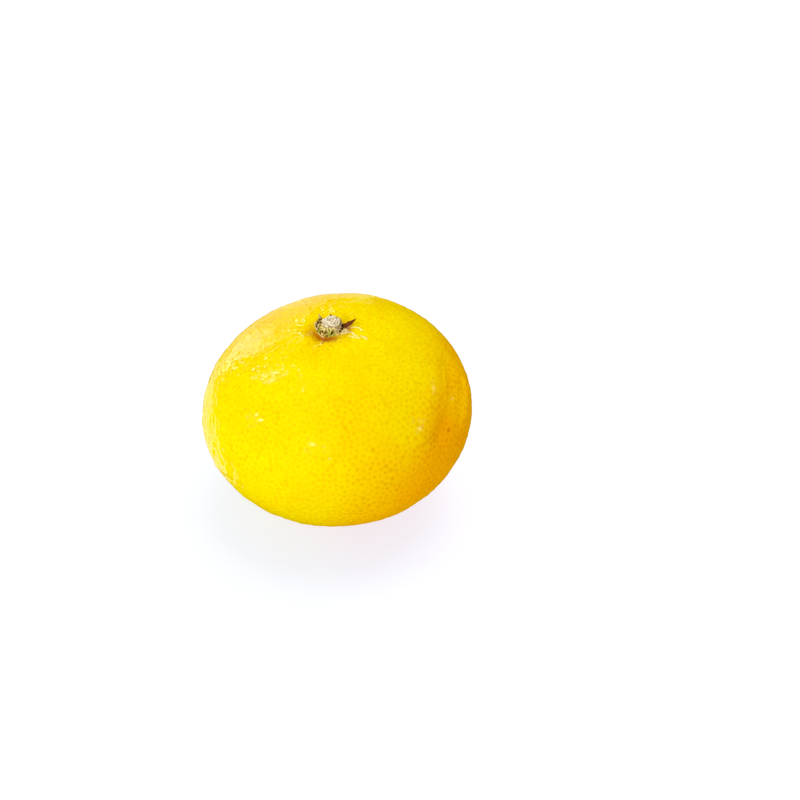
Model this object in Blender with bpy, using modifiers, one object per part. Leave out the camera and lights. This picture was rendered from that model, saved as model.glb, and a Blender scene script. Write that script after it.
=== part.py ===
"""A whole mandarin orange with its dried calyx and the stub of its cut stem.

The fruit is drawn round its own axis, stem end up, and then leans a little to one side, the way
it came to rest. It stands on a small flat spot. Lengths are in metres.
"""

import math
import random
from mathutils import Matrix

import bmesh
import bpy
import numpy as np

# Size and form of the fruit
GIRTH_RADIUS = 0.0320
CROWN_HEIGHT = 0.0239
BASE_DEPTH = 0.0261
BASE_NARROWING = 0.016
OVAL_ALONG, OVAL_SKEW = -0.0020, 0.0043
LOBED_ALONG, LOBED_SKEW = -0.0054, -0.0062
LEAN = math.radians(-4.65)

# Stem end: a shallow hollow with short furrows that run out from it
HOLLOW_DEPTH, HOLLOW_RADIUS = 0.0011, 0.0058
FURROW_DEPTH, FURROW_RADIUS, FURROW_SPREAD = 0.00022, 0.0062, 0.0026
FURROW_WAVES = ((5, 0.4, 0.6), (8, 1.9, 0.4))

# Flat spot that it rests on, and the dimple and scar of the blossom end
FLAT_DEPTH = 0.00075
BLOSSOM_RADIUS, BLOSSOM_DEPTH = 0.0034, 0.0006
SCAR_RADIUS, SCAR_HEIGHT = 0.0009, 0.00025

# Oil-gland pits of the rind, drawn larger than life
GRID_STEPS = 24
PIT_DEPTH = 0.00016
PIT_UNEVENNESS = 0.35
PIT_SEED = 7

# Calyx: a thick collar whose lobes reach out and curl up, a gap above the rind
GAP = 0.0003
DISC_RADIUS = 0.00305
SHOULDER_RADIUS = 0.0021
DISC_THICKNESS, LOBE_THICKNESS = 0.0015, 0.0006
CALYX_AROUND = 72
CALYX_RINGS = 4
# Each lobe's bearing and half-width in degrees, its reach from the axis, and the curl of its tip
LOBES = (
    (10, 16, 0.0061, 0.0003),
    (86, 13, 0.0037, 0.0013),
    (131, 19, 0.0041, 0.0012),
    (170, 21, 0.0039, 0.0010),
    (337, 16, 0.0050, 0.0001),
)

# Stub of the stem: a low cut face on the collar, a little off the fruit's axis
STUB_RADIUS, STUB_HEIGHT = 0.0022, 0.0007
STUB_ASIDE = 0.0005
STUB_AROUND = 28

COLOURS = {
    "rind": (0.93, 0.62, 0.01),
    "dry_calyx": (0.27, 0.22, 0.11),
    "cut_stem": (0.62, 0.55, 0.42),
}


def smooth(values):
    """Values held to 0 and 1, with a soft start and end."""
    held = np.clip(values, 0.0, 1.0)
    return held * held * (3.0 - 2.0 * held)


def rind_radius(directions):
    """Distance from the fruit's centre to its rind along each unit direction, stem end at +Z."""
    x, y, z = directions.T
    across = np.hypot(x, y)
    height = (CROWN_HEIGHT + BASE_DEPTH) / 2 + (CROWN_HEIGHT - BASE_DEPTH) / 2 * z
    radius = 1.0 / np.sqrt((across / GIRTH_RADIUS) ** 2 + (z / height) ** 2)
    radius *= 1.0 - BASE_NARROWING * (1.0 - z) / 2 * (2.0 * z * across) ** 2
    radius *= (
        1.0
        + OVAL_ALONG * (x * x - y * y)
        + OVAL_SKEW * 2.0 * x * y
        + LOBED_ALONG * (x**3 - 3.0 * x * y * y)
        + LOBED_SKEW * (3.0 * x * x * y - y**3)
    )
    from_axis = radius * across
    around = np.arctan2(y, x)
    furrows = sum(share * np.cos(count * around + turn) for count, turn, share in FURROW_WAVES)
    ring = np.exp(-(((from_axis - FURROW_RADIUS) / FURROW_SPREAD) ** 2))
    hollow = HOLLOW_DEPTH * np.exp(-((from_axis / HOLLOW_RADIUS) ** 2))
    return radius + np.where(z > 0.0, FURROW_DEPTH * furrows * ring - hollow, 0.0)


def leaning(points):
    """Points of the upright fruit turned to the way it lies."""
    return points @ np.array(Matrix.Rotation(LEAN, 3, "Y")).T


def resting_place():
    """Where the fruit's centre stands, so that its box is centred on a floor at Z = 0."""
    latitude = np.radians(np.arange(-90, 91))[:, None]
    longitude = np.radians(np.arange(0, 360))[None, :]
    directions = np.stack(
        [
            np.cos(latitude) * np.cos(longitude),
            np.cos(latitude) * np.sin(longitude),
            np.sin(latitude) * np.ones_like(longitude),
        ],
        axis=-1,
    ).reshape(-1, 3)
    points = leaning(directions * rind_radius(directions)[:, None])
    low, high = points.min(axis=0), points.max(axis=0)
    return np.array([-(low[0] + high[0]) / 2, -(low[1] + high[1]) / 2, -low[2] - FLAT_DEPTH])


def flatten_base(points, floor):
    """Lifts the lowest points onto the floor plane, then hollows the blossom end with its scar."""
    upward = np.array(Matrix.Rotation(-LEAN, 3, "Y")) @ np.array([0.0, 0.0, 1.0])
    below = np.minimum(points @ upward + floor, 0.0)
    points = points - below[:, None] * upward
    from_axis = np.hypot(points[:, 0], points[:, 1])
    lower = points[:, 2] < 0.0
    dimple = BLOSSOM_DEPTH * smooth(1.25 * (1.0 - from_axis / BLOSSOM_RADIUS))
    scar = SCAR_HEIGHT * smooth(1.0 - from_axis / SCAR_RADIUS)
    return points + np.where(lower, dimple - scar, 0.0)[:, None] * upward


def pit_points(mesh):
    """Every third grid point: a pit, and the point across the far edge of each face that meets it."""
    mesh.verts.ensure_lookup_table()
    first = max(mesh.verts, key=lambda vert: vert.co.z)
    pits, fresh = {first.index}, [first]
    while fresh:
        pit = fresh.pop()
        for face in pit.link_faces:
            far_edge = next(edge for edge in face.edges if pit not in edge.verts)
            beyond = next(other for other in far_edge.link_faces if other is not face)
            partner = next(vert for vert in beyond.verts if vert not in far_edge.verts)
            if partner.index not in pits:
                pits.add(partner.index)
                fresh.append(partner)
    return sorted(pits)


def build_fruit(floor):
    """The rind-covered body as one closed mesh, on an even grid of triangles."""
    mesh = bmesh.new()
    bmesh.ops.create_icosphere(mesh, subdivisions=1, radius=1.0)
    bmesh.ops.subdivide_edges(mesh, edges=mesh.edges[:], cuts=GRID_STEPS - 1, use_grid_fill=True)
    directions = np.array([vert.co.normalized() for vert in mesh.verts])
    radius = rind_radius(directions)
    draw = random.Random(PIT_SEED)
    for index in pit_points(mesh):
        radius[index] -= PIT_DEPTH * (1.0 + PIT_UNEVENNESS * draw.uniform(-1.0, 1.0))
    points = flatten_base(directions * radius[:, None], floor)
    for vert, point in zip(mesh.verts, points):
        vert.co = point
    return mesh


def lobe_shares(around):
    """How much of each lobe there is at each bearing, from 0 beside it to 1 at its point."""
    shares = []
    for bearing, half_width, _, _ in LOBES:
        aside = np.degrees(np.abs(np.angle(np.exp(1j * (around - math.radians(bearing))))))
        shares.append(np.exp(-aside / half_width))
    return shares


def on_rind(radius, bearing, lift):
    """The point at a distance from the axis and a bearing round it, lifted above the rind."""
    tilt = math.asin(radius / CROWN_HEIGHT)
    direction = np.array(
        [math.sin(tilt) * math.cos(bearing), math.sin(tilt) * math.sin(bearing), math.cos(tilt)]
    )
    return direction * (rind_radius(direction[None, :])[0] + lift)


def build_calyx():
    """The collar and its curled lobes: an under face and an upper face closed by an edge band."""
    bearings = np.arange(CALYX_AROUND) * (2.0 * math.pi / CALYX_AROUND)
    shares = lobe_shares(bearings)
    edge = DISC_RADIUS + sum(share * (lobe[2] - DISC_RADIUS) for share, lobe in zip(shares, LOBES))
    middle = np.full(CALYX_AROUND, SHOULDER_RADIUS)
    rings = [middle / 2, middle]
    rings += [middle + (edge - middle) * step / CALYX_RINGS for step in range(1, CALYX_RINGS + 1)]
    mesh = bmesh.new()

    def ring_of_points(radii, raised):
        points = []
        for bearing, radius, *share in zip(bearings, radii, *shares):
            lift = GAP
            for part, (_, _, reach, curl) in zip(share, LOBES):
                way_out = max(radius - SHOULDER_RADIUS, 0.0) / (reach - SHOULDER_RADIUS)
                lift += part * curl * way_out**2
            if raised:
                slope = smooth((radius - SHOULDER_RADIUS) / (DISC_RADIUS - SHOULDER_RADIUS))
                lift += DISC_THICKNESS + (LOBE_THICKNESS - DISC_THICKNESS) * slope
            points.append(mesh.verts.new(on_rind(radius, bearing, lift)))
        return points

    upper = [ring_of_points(radii, True) for radii in rings]
    under = [ring_of_points(radii, False) for radii in rings]
    upper_middle = mesh.verts.new(on_rind(0.0, 0.0, GAP + DISC_THICKNESS))
    under_middle = mesh.verts.new(on_rind(0.0, 0.0, GAP))
    shells = [upper, [list(reversed(ring)) for ring in under]]
    for shell, top in zip(shells, (upper_middle, under_middle)):
        for i in range(CALYX_AROUND):
            mesh.faces.new((top, shell[0][i - 1], shell[0][i]))
            for inner, outer in zip(shell, shell[1:]):
                mesh.faces.new((inner[i - 1], outer[i - 1], outer[i], inner[i]))
    for i in range(CALYX_AROUND):
        mesh.faces.new((under[-1][i - 1], under[-1][i], upper[-1][i], upper[-1][i - 1]))
    return mesh


def build_stub():
    """Half the section of the stub, from the middle of its ringed top down its side and back."""
    section = (
        (0.0, 0.97),
        (0.22, 1.00),
        (0.36, 0.88),
        (0.54, 1.00),
        (0.68, 0.84),
        (0.84, 0.92),
        (0.97, 0.72),
        (0.94, 0.40),
        (1.03, 0.05),
        (0.0, 0.00),
    )
    mesh = bmesh.new()
    points = [mesh.verts.new((out * STUB_RADIUS, 0.0, up * STUB_HEIGHT)) for out, up in section]
    for upper, lower in zip(points, points[1:]):
        mesh.edges.new((upper, lower))
    return mesh


def add_screw(piece):
    """Turns a half section once round its axis."""
    screw = piece.modifiers.new("turn", "SCREW")
    screw.axis = "Z"
    screw.steps = screw.render_steps = STUB_AROUND
    screw.use_merge_vertices = True
    screw.merge_threshold = 0.00001


def make_material(name, roughness):
    """A plain material in the colour of that name."""
    material = bpy.data.materials.new(name)
    material.use_nodes = True
    shader = material.node_tree.nodes["Principled BSDF"]
    shader.inputs["Base Color"].default_value = (*COLOURS[name], 1.0)
    shader.inputs["Roughness"].default_value = roughness
    shader.inputs["Metallic"].default_value = 0.0
    return material


def add_piece(name, mesh, collection, parent, material, place=(0.0, 0.0, 0.0)):
    """Makes a mesh an object in the fruit's own frame."""
    data = bpy.data.meshes.new(name)
    mesh.to_mesh(data)
    mesh.free()
    data.materials.append(material)
    data.shade_smooth()
    data.set_sharp_from_angle(angle=math.radians(50))
    piece = bpy.data.objects.new(name, data)
    piece.parent = parent
    piece.location = place
    collection.objects.link(piece)
    return piece


def main():
    """Clears the scene and builds the mandarin orange where it rests."""
    for old in list(bpy.data.objects):
        bpy.data.objects.remove(old)
    collection = bpy.data.collections.new("mandarin_orange")
    bpy.context.scene.collection.children.link(collection)

    place = resting_place()
    whole = bpy.data.objects.new("mandarin_orange", None)
    whole.location = place
    whole.rotation_euler = (0.0, LEAN, 0.0)
    collection.objects.link(whole)

    fruit = build_fruit(place[2])
    add_piece("fruit", fruit, collection, whole, make_material("rind", 0.42))
    add_piece("calyx", build_calyx(), collection, whole, make_material("dry_calyx", 0.8))
    seat = (STUB_ASIDE, 0.0, on_rind(0.0, 0.0, GAP + DISC_THICKNESS + GAP)[2])
    wood = make_material("cut_stem", 0.85)
    stub = add_piece("stem_stub", build_stub(), collection, whole, wood, seat)
    add_screw(stub)


main()
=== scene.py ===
"""Looks of a whole mandarin orange: pitted waxy rind, dried calyx and the stub of the cut stem.

Each class is a piece of the fruit or of the studio round it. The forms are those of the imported
solids, on a finer grid. Lengths are in metres, +Z up, unless a name says otherwise.
"""

import logging
import math
from dataclasses import dataclass, field
from enum import Enum

import bmesh
import bpy
import numpy as np
from mathutils import Matrix, Vector, kdtree


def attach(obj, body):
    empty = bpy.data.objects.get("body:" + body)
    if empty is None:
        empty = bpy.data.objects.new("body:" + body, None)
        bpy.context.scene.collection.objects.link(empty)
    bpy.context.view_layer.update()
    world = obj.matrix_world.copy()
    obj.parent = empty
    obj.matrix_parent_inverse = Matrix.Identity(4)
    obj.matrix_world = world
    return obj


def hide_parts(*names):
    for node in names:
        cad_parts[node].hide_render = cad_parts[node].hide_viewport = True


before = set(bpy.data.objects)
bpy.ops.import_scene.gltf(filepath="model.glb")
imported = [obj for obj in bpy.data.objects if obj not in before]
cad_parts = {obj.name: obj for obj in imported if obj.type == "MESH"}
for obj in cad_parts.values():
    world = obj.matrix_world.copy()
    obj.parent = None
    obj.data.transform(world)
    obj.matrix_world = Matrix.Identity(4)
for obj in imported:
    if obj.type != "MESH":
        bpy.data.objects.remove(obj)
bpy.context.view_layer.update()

log = logging.getLogger("mandarin")

MM = 0.001
# Shortest and longest wave of a random field, as shares of the mean.
WAVE_SPAN = (0.7, 1.4)
BODY = "root"


def linear(hex_colour: str) -> tuple[float, float, float, float]:
    """Turns an sRGB hex colour into the linear colour that a shader takes.

    Args:
        hex_colour: Six hex digits after a hash mark.

    Returns:
        Red, green, blue and an alpha of one.
    """
    parts = [int(hex_colour[i : i + 2], 16) / 255.0 for i in (1, 3, 5)]
    curved = [p / 12.92 if p <= 0.04045 else ((p + 0.055) / 1.055) ** 2.4 for p in parts]
    return (*curved, 1.0)


def smooth(values: np.ndarray) -> np.ndarray:
    """Values held to 0 and 1, with a soft start and end."""
    held = np.clip(values, 0.0, 1.0)
    return held * held * (3.0 - 2.0 * held)


def add_node(
    tree: bpy.types.NodeTree,
    kind: str,
    inputs: dict[str | int, object] | None = None,
    **settings: object,
) -> bpy.types.Node:
    """Adds a node with its settings, its values and the links into it.

    Args:
        tree: Node tree that takes the node.
        kind: The node's type.
        inputs: Value or output socket for each input socket, by name or place.
        settings: Attributes of the node itself.

    Returns:
        The new node.
    """
    node = tree.nodes.new(kind)
    for name, value in settings.items():
        setattr(node, name, value)
    for socket, value in (inputs or {}).items():
        if isinstance(value, bpy.types.NodeSocket):
            tree.links.new(value, node.inputs[socket])
        else:
            node.inputs[socket].default_value = value
    return node


def new_material(name: str) -> tuple[bpy.types.Material, bpy.types.NodeTree, bpy.types.Node]:
    """Makes a material.

    Args:
        name: The material's name.

    Returns:
        The material, its node tree and its shader.
    """
    material = bpy.data.materials.new(name)
    material.use_nodes = True
    return material, material.node_tree, material.node_tree.nodes["Principled BSDF"]


def random_waves(points: np.ndarray, wavelength: float, count: int, seed: int) -> np.ndarray:
    """A smooth random field made of plane waves of about one length.

    Args:
        points: Places to read it, as rows of x, y and z.
        wavelength: Mean length of a wave.
        count: How many waves are added.
        seed: Seed of the draw.

    Returns:
        A value at each point, with a spread of about one.
    """
    draw = np.random.default_rng(seed)
    ways = draw.normal(size=(count, 3))
    ways /= np.linalg.norm(ways, axis=1)[:, None]
    lengths = wavelength * draw.uniform(*WAVE_SPAN, count)
    turns = draw.uniform(0.0, 2.0 * math.pi, count)
    total = np.zeros(len(points))
    for way, length, turn in zip(ways, lengths, turns):
        total += np.sin(points @ way * (2.0 * math.pi / length) + turn)
    return total * math.sqrt(2.0 / count)


def off_bearing(bearing: np.ndarray, degrees: float) -> np.ndarray:
    """Angles in radians from a bearing in degrees, between minus and plus half a turn."""
    return np.angle(np.exp(1j * (bearing - math.radians(degrees))))


def bell(distance: np.ndarray, width: float) -> np.ndarray:
    """One at no distance, and down to a third at one width."""
    return np.exp(-((distance / width) ** 2))


@dataclass(frozen=True)
class FruitForm:
    """The fruit's form round its own axis, and the way that it lies."""

    girth_radius: float = 32.0 * MM
    crown_height: float = 23.9 * MM
    base_depth: float = 26.1 * MM
    base_narrowing: float = 0.016
    oval: tuple[float, float] = (-0.0020, 0.0043)
    lobed: tuple[float, float] = (-0.0054, -0.0062)
    lean: float = math.radians(-4.65)
    hollow_depth: float = 1.1 * MM
    hollow_radius: float = 5.8 * MM
    furrow_depth: float = 0.22 * MM
    furrow_radius: float = 6.2 * MM
    furrow_spread: float = 2.6 * MM
    furrow_waves: tuple[tuple[int, float, float], ...] = ((5, 0.4, 0.6), (8, 1.9, 0.4))
    flat_depth: float = 0.75 * MM
    blossom_radius: float = 3.4 * MM
    blossom_depth: float = 0.6 * MM
    blossom_steepness: float = 1.25
    scar_radius: float = 0.9 * MM
    scar_height: float = 0.25 * MM
    widest_tilt: float = 0.9

    def radius(self, directions: np.ndarray) -> np.ndarray:
        """Distance from the centre to the rind along each unit direction.

        Args:
            directions: Rows of unit vectors, with the stem end at +Z.

        Returns:
            One distance a row.
        """
        x, y, z = directions.T
        across = np.hypot(x, y)
        mean = (self.crown_height + self.base_depth) / 2
        height = mean + (self.crown_height - self.base_depth) / 2 * z
        radius = 1.0 / np.sqrt((across / self.girth_radius) ** 2 + (z / height) ** 2)
        radius *= 1.0 - self.base_narrowing * (1.0 - z) / 2 * (2.0 * z * across) ** 2
        radius *= (
            1.0
            + self.oval[0] * (x * x - y * y)
            + self.oval[1] * 2.0 * x * y
            + self.lobed[0] * (x**3 - 3.0 * x * y * y)
            + self.lobed[1] * (3.0 * x * x * y - y**3)
        )
        from_axis = radius * across
        around = np.arctan2(y, x)
        furrows = sum(s * np.cos(n * around + turn) for n, turn, s in self.furrow_waves)
        ring = bell(from_axis - self.furrow_radius, self.furrow_spread)
        hollow = self.hollow_depth * bell(from_axis, self.hollow_radius)
        stem_end = self.furrow_depth * furrows * ring - hollow
        return radius + np.where(z > 0.0, stem_end, 0.0)

    def turn(self) -> np.ndarray:
        """Rotation from the upright fruit to the way it lies."""
        return np.array(Matrix.Rotation(self.lean, 3, "Y"))

    def centre(self) -> np.ndarray:
        """Where the fruit's centre stands, its box centred over the floor's origin.

        Returns:
            The centre's place.
        """
        latitude = np.radians(np.arange(-90, 91))[:, None]
        longitude = np.radians(np.arange(0, 360))[None, :]
        directions = np.stack(
            [
                np.cos(latitude) * np.cos(longitude),
                np.cos(latitude) * np.sin(longitude),
                np.sin(latitude) * np.ones_like(longitude),
            ],
            axis=-1,
        ).reshape(-1, 3)
        points = (directions * self.radius(directions)[:, None]) @ self.turn().T
        low, high = points.min(axis=0), points.max(axis=0)
        return np.array(
            [-(low[0] + high[0]) / 2, -(low[1] + high[1]) / 2, -low[2] - self.flat_depth]
        )

    def flatten_base(self, points: np.ndarray, floor: float) -> np.ndarray:
        """Lifts the lowest points to the floor, then hollows the blossom end.

        Args:
            points: Rows of points of the upright fruit.
            floor: Height of the fruit's centre over the floor.

        Returns:
            The points with the flat spot, the dimple and its scar.
        """
        upward = self.turn().T @ np.array([0.0, 0.0, 1.0])
        below = np.minimum(points @ upward + floor, 0.0)
        points = points - below[:, None] * upward
        from_axis = np.hypot(points[:, 0], points[:, 1])
        inward = self.blossom_steepness * (1.0 - from_axis / self.blossom_radius)
        dimple = self.blossom_depth * smooth(inward)
        scar = self.scar_height * smooth(1.0 - from_axis / self.scar_radius)
        return points + np.where(points[:, 2] < 0.0, dimple - scar, 0.0)[:, None] * upward

    def settle(self, points: np.ndarray) -> np.ndarray:
        """Points of the upright fruit, moved to where it lies."""
        return points @ self.turn().T + self.centre()

    def over_rind(self, radius: np.ndarray, bearing: np.ndarray, lift: np.ndarray) -> np.ndarray:
        """Points near the stem, by their distance and bearing from the axis.

        Args:
            radius: Distances from the axis.
            bearing: Bearings round the axis, in radians.
            lift: Heights over the rind.

        Returns:
            Rows of points of the upright fruit.
        """
        tilt = np.arcsin(np.clip(radius / self.crown_height, 0.0, self.widest_tilt))
        directions = np.stack(
            [np.sin(tilt) * np.cos(bearing), np.sin(tilt) * np.sin(bearing), np.cos(tilt)], axis=-1
        )
        return directions * (self.radius(directions) + lift)[:, None]


@dataclass
class OilGlands:
    """The oil glands of the rind, as seeded points spread evenly over all directions."""

    spacing: float = 1.58 * MM
    at_radius: float = 32.0 * MM
    unevenness: float = 0.38
    rounds: int = 7
    neighbours: int = 7
    push: float = 0.35
    palest: float = 0.55
    darkening: float = 0.85
    rarity_of_dark: float = 2.5
    seed: int = 11
    directions: np.ndarray = field(init=False)
    sizes: np.ndarray = field(init=False)
    shades: np.ndarray = field(init=False)
    tree: kdtree.KDTree = field(init=False)

    def __post_init__(self) -> None:
        """Draws the glands and spreads them."""
        step = self.spacing / self.at_radius
        count = int(4.0 * math.pi / (step * step * math.sqrt(3.0) / 2.0))
        draw = np.random.default_rng(self.seed)
        place = np.arange(count) + 0.5
        polar = np.arccos(1.0 - 2.0 * place / count)
        around = math.pi * (1.0 + math.sqrt(5.0)) * place
        points = np.stack(
            [np.cos(around) * np.sin(polar), np.sin(around) * np.sin(polar), np.cos(polar)], axis=-1
        )
        points += draw.normal(size=points.shape) * step * self.unevenness
        points /= np.linalg.norm(points, axis=1)[:, None]
        for _ in range(self.rounds):
            points = self.spread(points, step)
        self.directions = points
        self.sizes = draw.uniform(0.0, 1.0, count)
        chance = draw.uniform(0.0, 1.0, count)
        self.shades = self.palest + self.darkening * chance**self.rarity_of_dark
        self.tree = self.tree_of(points)

    @staticmethod
    def tree_of(points: np.ndarray) -> kdtree.KDTree:
        """Puts points in a tree that finds the nearest of them.

        Args:
            points: Rows of x, y and z.

        Returns:
            The tree.
        """
        tree = kdtree.KDTree(len(points))
        for index, point in enumerate(points):
            tree.insert(point, index)
        tree.balance()
        return tree

    def spread(self, points: np.ndarray, step: float) -> np.ndarray:
        """Pushes glands that are too close apart.

        Args:
            points: Unit vectors to the glands.
            step: Angle that glands keep from each other.

        Returns:
            The moved unit vectors.
        """
        tree = self.tree_of(points)
        moved = points.copy()
        for index, point in enumerate(points):
            for _, other, distance in tree.find_n(point, self.neighbours):
                if 0.0 < distance < step:
                    away = (point - points[other]) / distance
                    moved[index] += away * (step - distance) * self.push
        return moved / np.linalg.norm(moved, axis=1)[:, None]

    def nearest(self, directions: np.ndarray) -> tuple[np.ndarray, np.ndarray, np.ndarray]:
        """The nearest gland to each direction.

        Args:
            directions: Rows of unit vectors.

        Returns:
            Its distance as an angle, its size from 0 to 1, and how dark it is.
        """
        found = [self.tree.find(direction) for direction in directions]
        which = np.array([index for _, index, _ in found])
        away = np.array([distance for _, _, distance in found])
        return away, self.sizes[which], self.shades[which]


def new_piece(
    mesh: bpy.types.Mesh, material: bpy.types.Material, node: str
) -> bpy.types.Object:
    """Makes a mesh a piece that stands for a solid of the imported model.

    Args:
        mesh: The mesh, in place, which gives the piece its name.
        material: Its finish.
        node: The solid that it stands for.

    Returns:
        The piece.
    """
    mesh.materials.append(material)
    mesh.shade_smooth()
    piece = bpy.data.objects.new(mesh.name, mesh)
    bpy.context.scene.collection.objects.link(piece)
    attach(piece, BODY)
    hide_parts(node)
    return piece


def set_values(mesh: bpy.types.Mesh, values: dict[str, np.ndarray]) -> None:
    """Stores a value for each point of a mesh under each name.

    Args:
        mesh: The mesh that takes them.
        values: One value a point for each name.
    """
    for name, value in values.items():
        attribute = mesh.attributes.new(name, "FLOAT", "POINT")
        attribute.data.foreach_set("value", np.asarray(value, dtype=np.float32))


def store_faces(mesh: bpy.types.Mesh, values: dict[str, np.ndarray]) -> None:
    """Stores values of a closed polar mesh's upper face, and the same ones under it.

    Args:
        mesh: The mesh, from polar_mesh.
        values: Values for each name, ring by place.
    """
    full: dict[str, np.ndarray] = {}
    for name, value in values.items():
        ends = [value[0].mean(), value[0].mean()]
        full[name] = np.concatenate([value.ravel(), value.ravel(), ends])
    set_values(mesh, full)


def polar_mesh(name: str, upper: np.ndarray, under: np.ndarray) -> bpy.types.Mesh:
    """Closes an upper and an under face, each a stack of rings, into one body.

    Args:
        name: The mesh's name.
        upper: Points of the upper face, as rings from the middle out, ring by place by xyz.
        under: Points of the under face, laid out the same way.

    Returns:
        The mesh, with the upper face's points first.
    """
    rings, around, _ = upper.shape
    points = np.concatenate([upper.reshape(-1, 3), under.reshape(-1, 3)])
    middles = [upper[0].mean(axis=0), under[0].mean(axis=0)]
    offset = rings * around
    faces: list[tuple[int, ...]] = []
    for i in range(around):
        j = (i + 1) % around
        faces.append((2 * offset, i, j))
        faces.append((2 * offset + 1, offset + j, offset + i))
        for ring in range(rings - 1):
            a, b = ring * around, (ring + 1) * around
            faces.append((a + i, b + i, b + j, a + j))
            faces.append((offset + a + j, offset + b + j, offset + b + i, offset + a + i))
        edge = (rings - 1) * around
        faces.append((offset + edge + i, offset + edge + j, edge + j, edge + i))
    mesh = bpy.data.meshes.new(name)
    mesh.from_pydata(np.concatenate([points, middles]).tolist(), [], faces)
    return mesh


class Laid(Enum):
    """How a coat of colour lies on those under it."""

    OVER = "MIX"
    TINT = "MULTIPLY"


def make_finish(
    name: str,
    ground: str,
    stored: tuple[str, ...],
    patterns: tuple[tuple[str, float, float], ...],
    ramps: tuple[tuple[str, str, float, float, float, float], ...],
    coats: tuple[tuple[str, str, Laid], ...],
    reliefs: tuple[tuple[str, float | str, float], ...],
    settings: dict[str, object],
    products: tuple[tuple[str, str, str], ...] = (),
) -> bpy.types.Material:
    """Builds a material from coats of colour and fine reliefs that follow named values.

    Args:
        name: The material's name.
        ground: The colour under all coats.
        stored: The values that the mesh holds.
        patterns: For each noise its name, its size in millimetres and its detail.
        ramps: For each soft ramp its name, its source, where it starts and ends, and what it
            gives at its start and its end.
        coats: For each coat its colour, the value that it follows, and how it is laid.
        reliefs: For each relief its value, its strength as a number or a value, and its depth.
        settings: A number, a colour or the name of a value for other sockets of the shader.
        products: For each product its name and its two factors.

    Returns:
        The material.
    """
    material, tree, shader = new_material(name)
    place = add_node(tree, "ShaderNodeTexCoord").outputs["Object"]
    values: dict[str, bpy.types.NodeSocket] = {}
    for label in stored:
        node = add_node(tree, "ShaderNodeAttribute", attribute_name=label)
        values[label] = node.outputs["Fac"]
    for label, size_mm, detail in patterns:
        inputs = {"Vector": place, "Scale": 1.0 / (size_mm * MM), "Detail": detail}
        values[label] = add_node(tree, "ShaderNodeTexNoise", inputs).outputs["Fac"]
    for label, source, low, high, start, end in ramps:
        inputs = {"Value": values[source], "From Min": low, "From Max": high}
        inputs |= {"To Min": start, "To Max": end}
        node = add_node(tree, "ShaderNodeMapRange", inputs, interpolation_type="SMOOTHSTEP")
        values[label] = node.outputs["Result"]
    for label, first, second in products:
        inputs = {0: values[first], 1: values[second]}
        node = add_node(tree, "ShaderNodeMath", inputs, operation="MULTIPLY", use_clamp=True)
        values[label] = node.outputs[0]
    colour = linear(ground)
    for over, where, laid in coats:
        inputs = {"Factor": values[where], "A": colour, "B": linear(over)}
        node = add_node(tree, "ShaderNodeMix", inputs, data_type="RGBA", blend_type=laid.value)
        colour = node.outputs["Result"]
    tree.links.new(colour, shader.inputs["Base Color"])
    under: dict[str | int, object] = {}
    for source, strength, depth in reliefs:
        inputs = {"Height": values[source], "Strength": values.get(strength, strength)}
        bump = add_node(tree, "ShaderNodeBump", inputs | {"Distance": depth} | under)
        under = {"Normal": bump.outputs["Normal"]}
    tree.links.new(under["Normal"], shader.inputs["Normal"])
    for socket, setting in settings.items():
        if setting in values:
            tree.links.new(values[setting], shader.inputs[socket])
        else:
            shader.inputs[socket].default_value = setting
    return material


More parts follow.
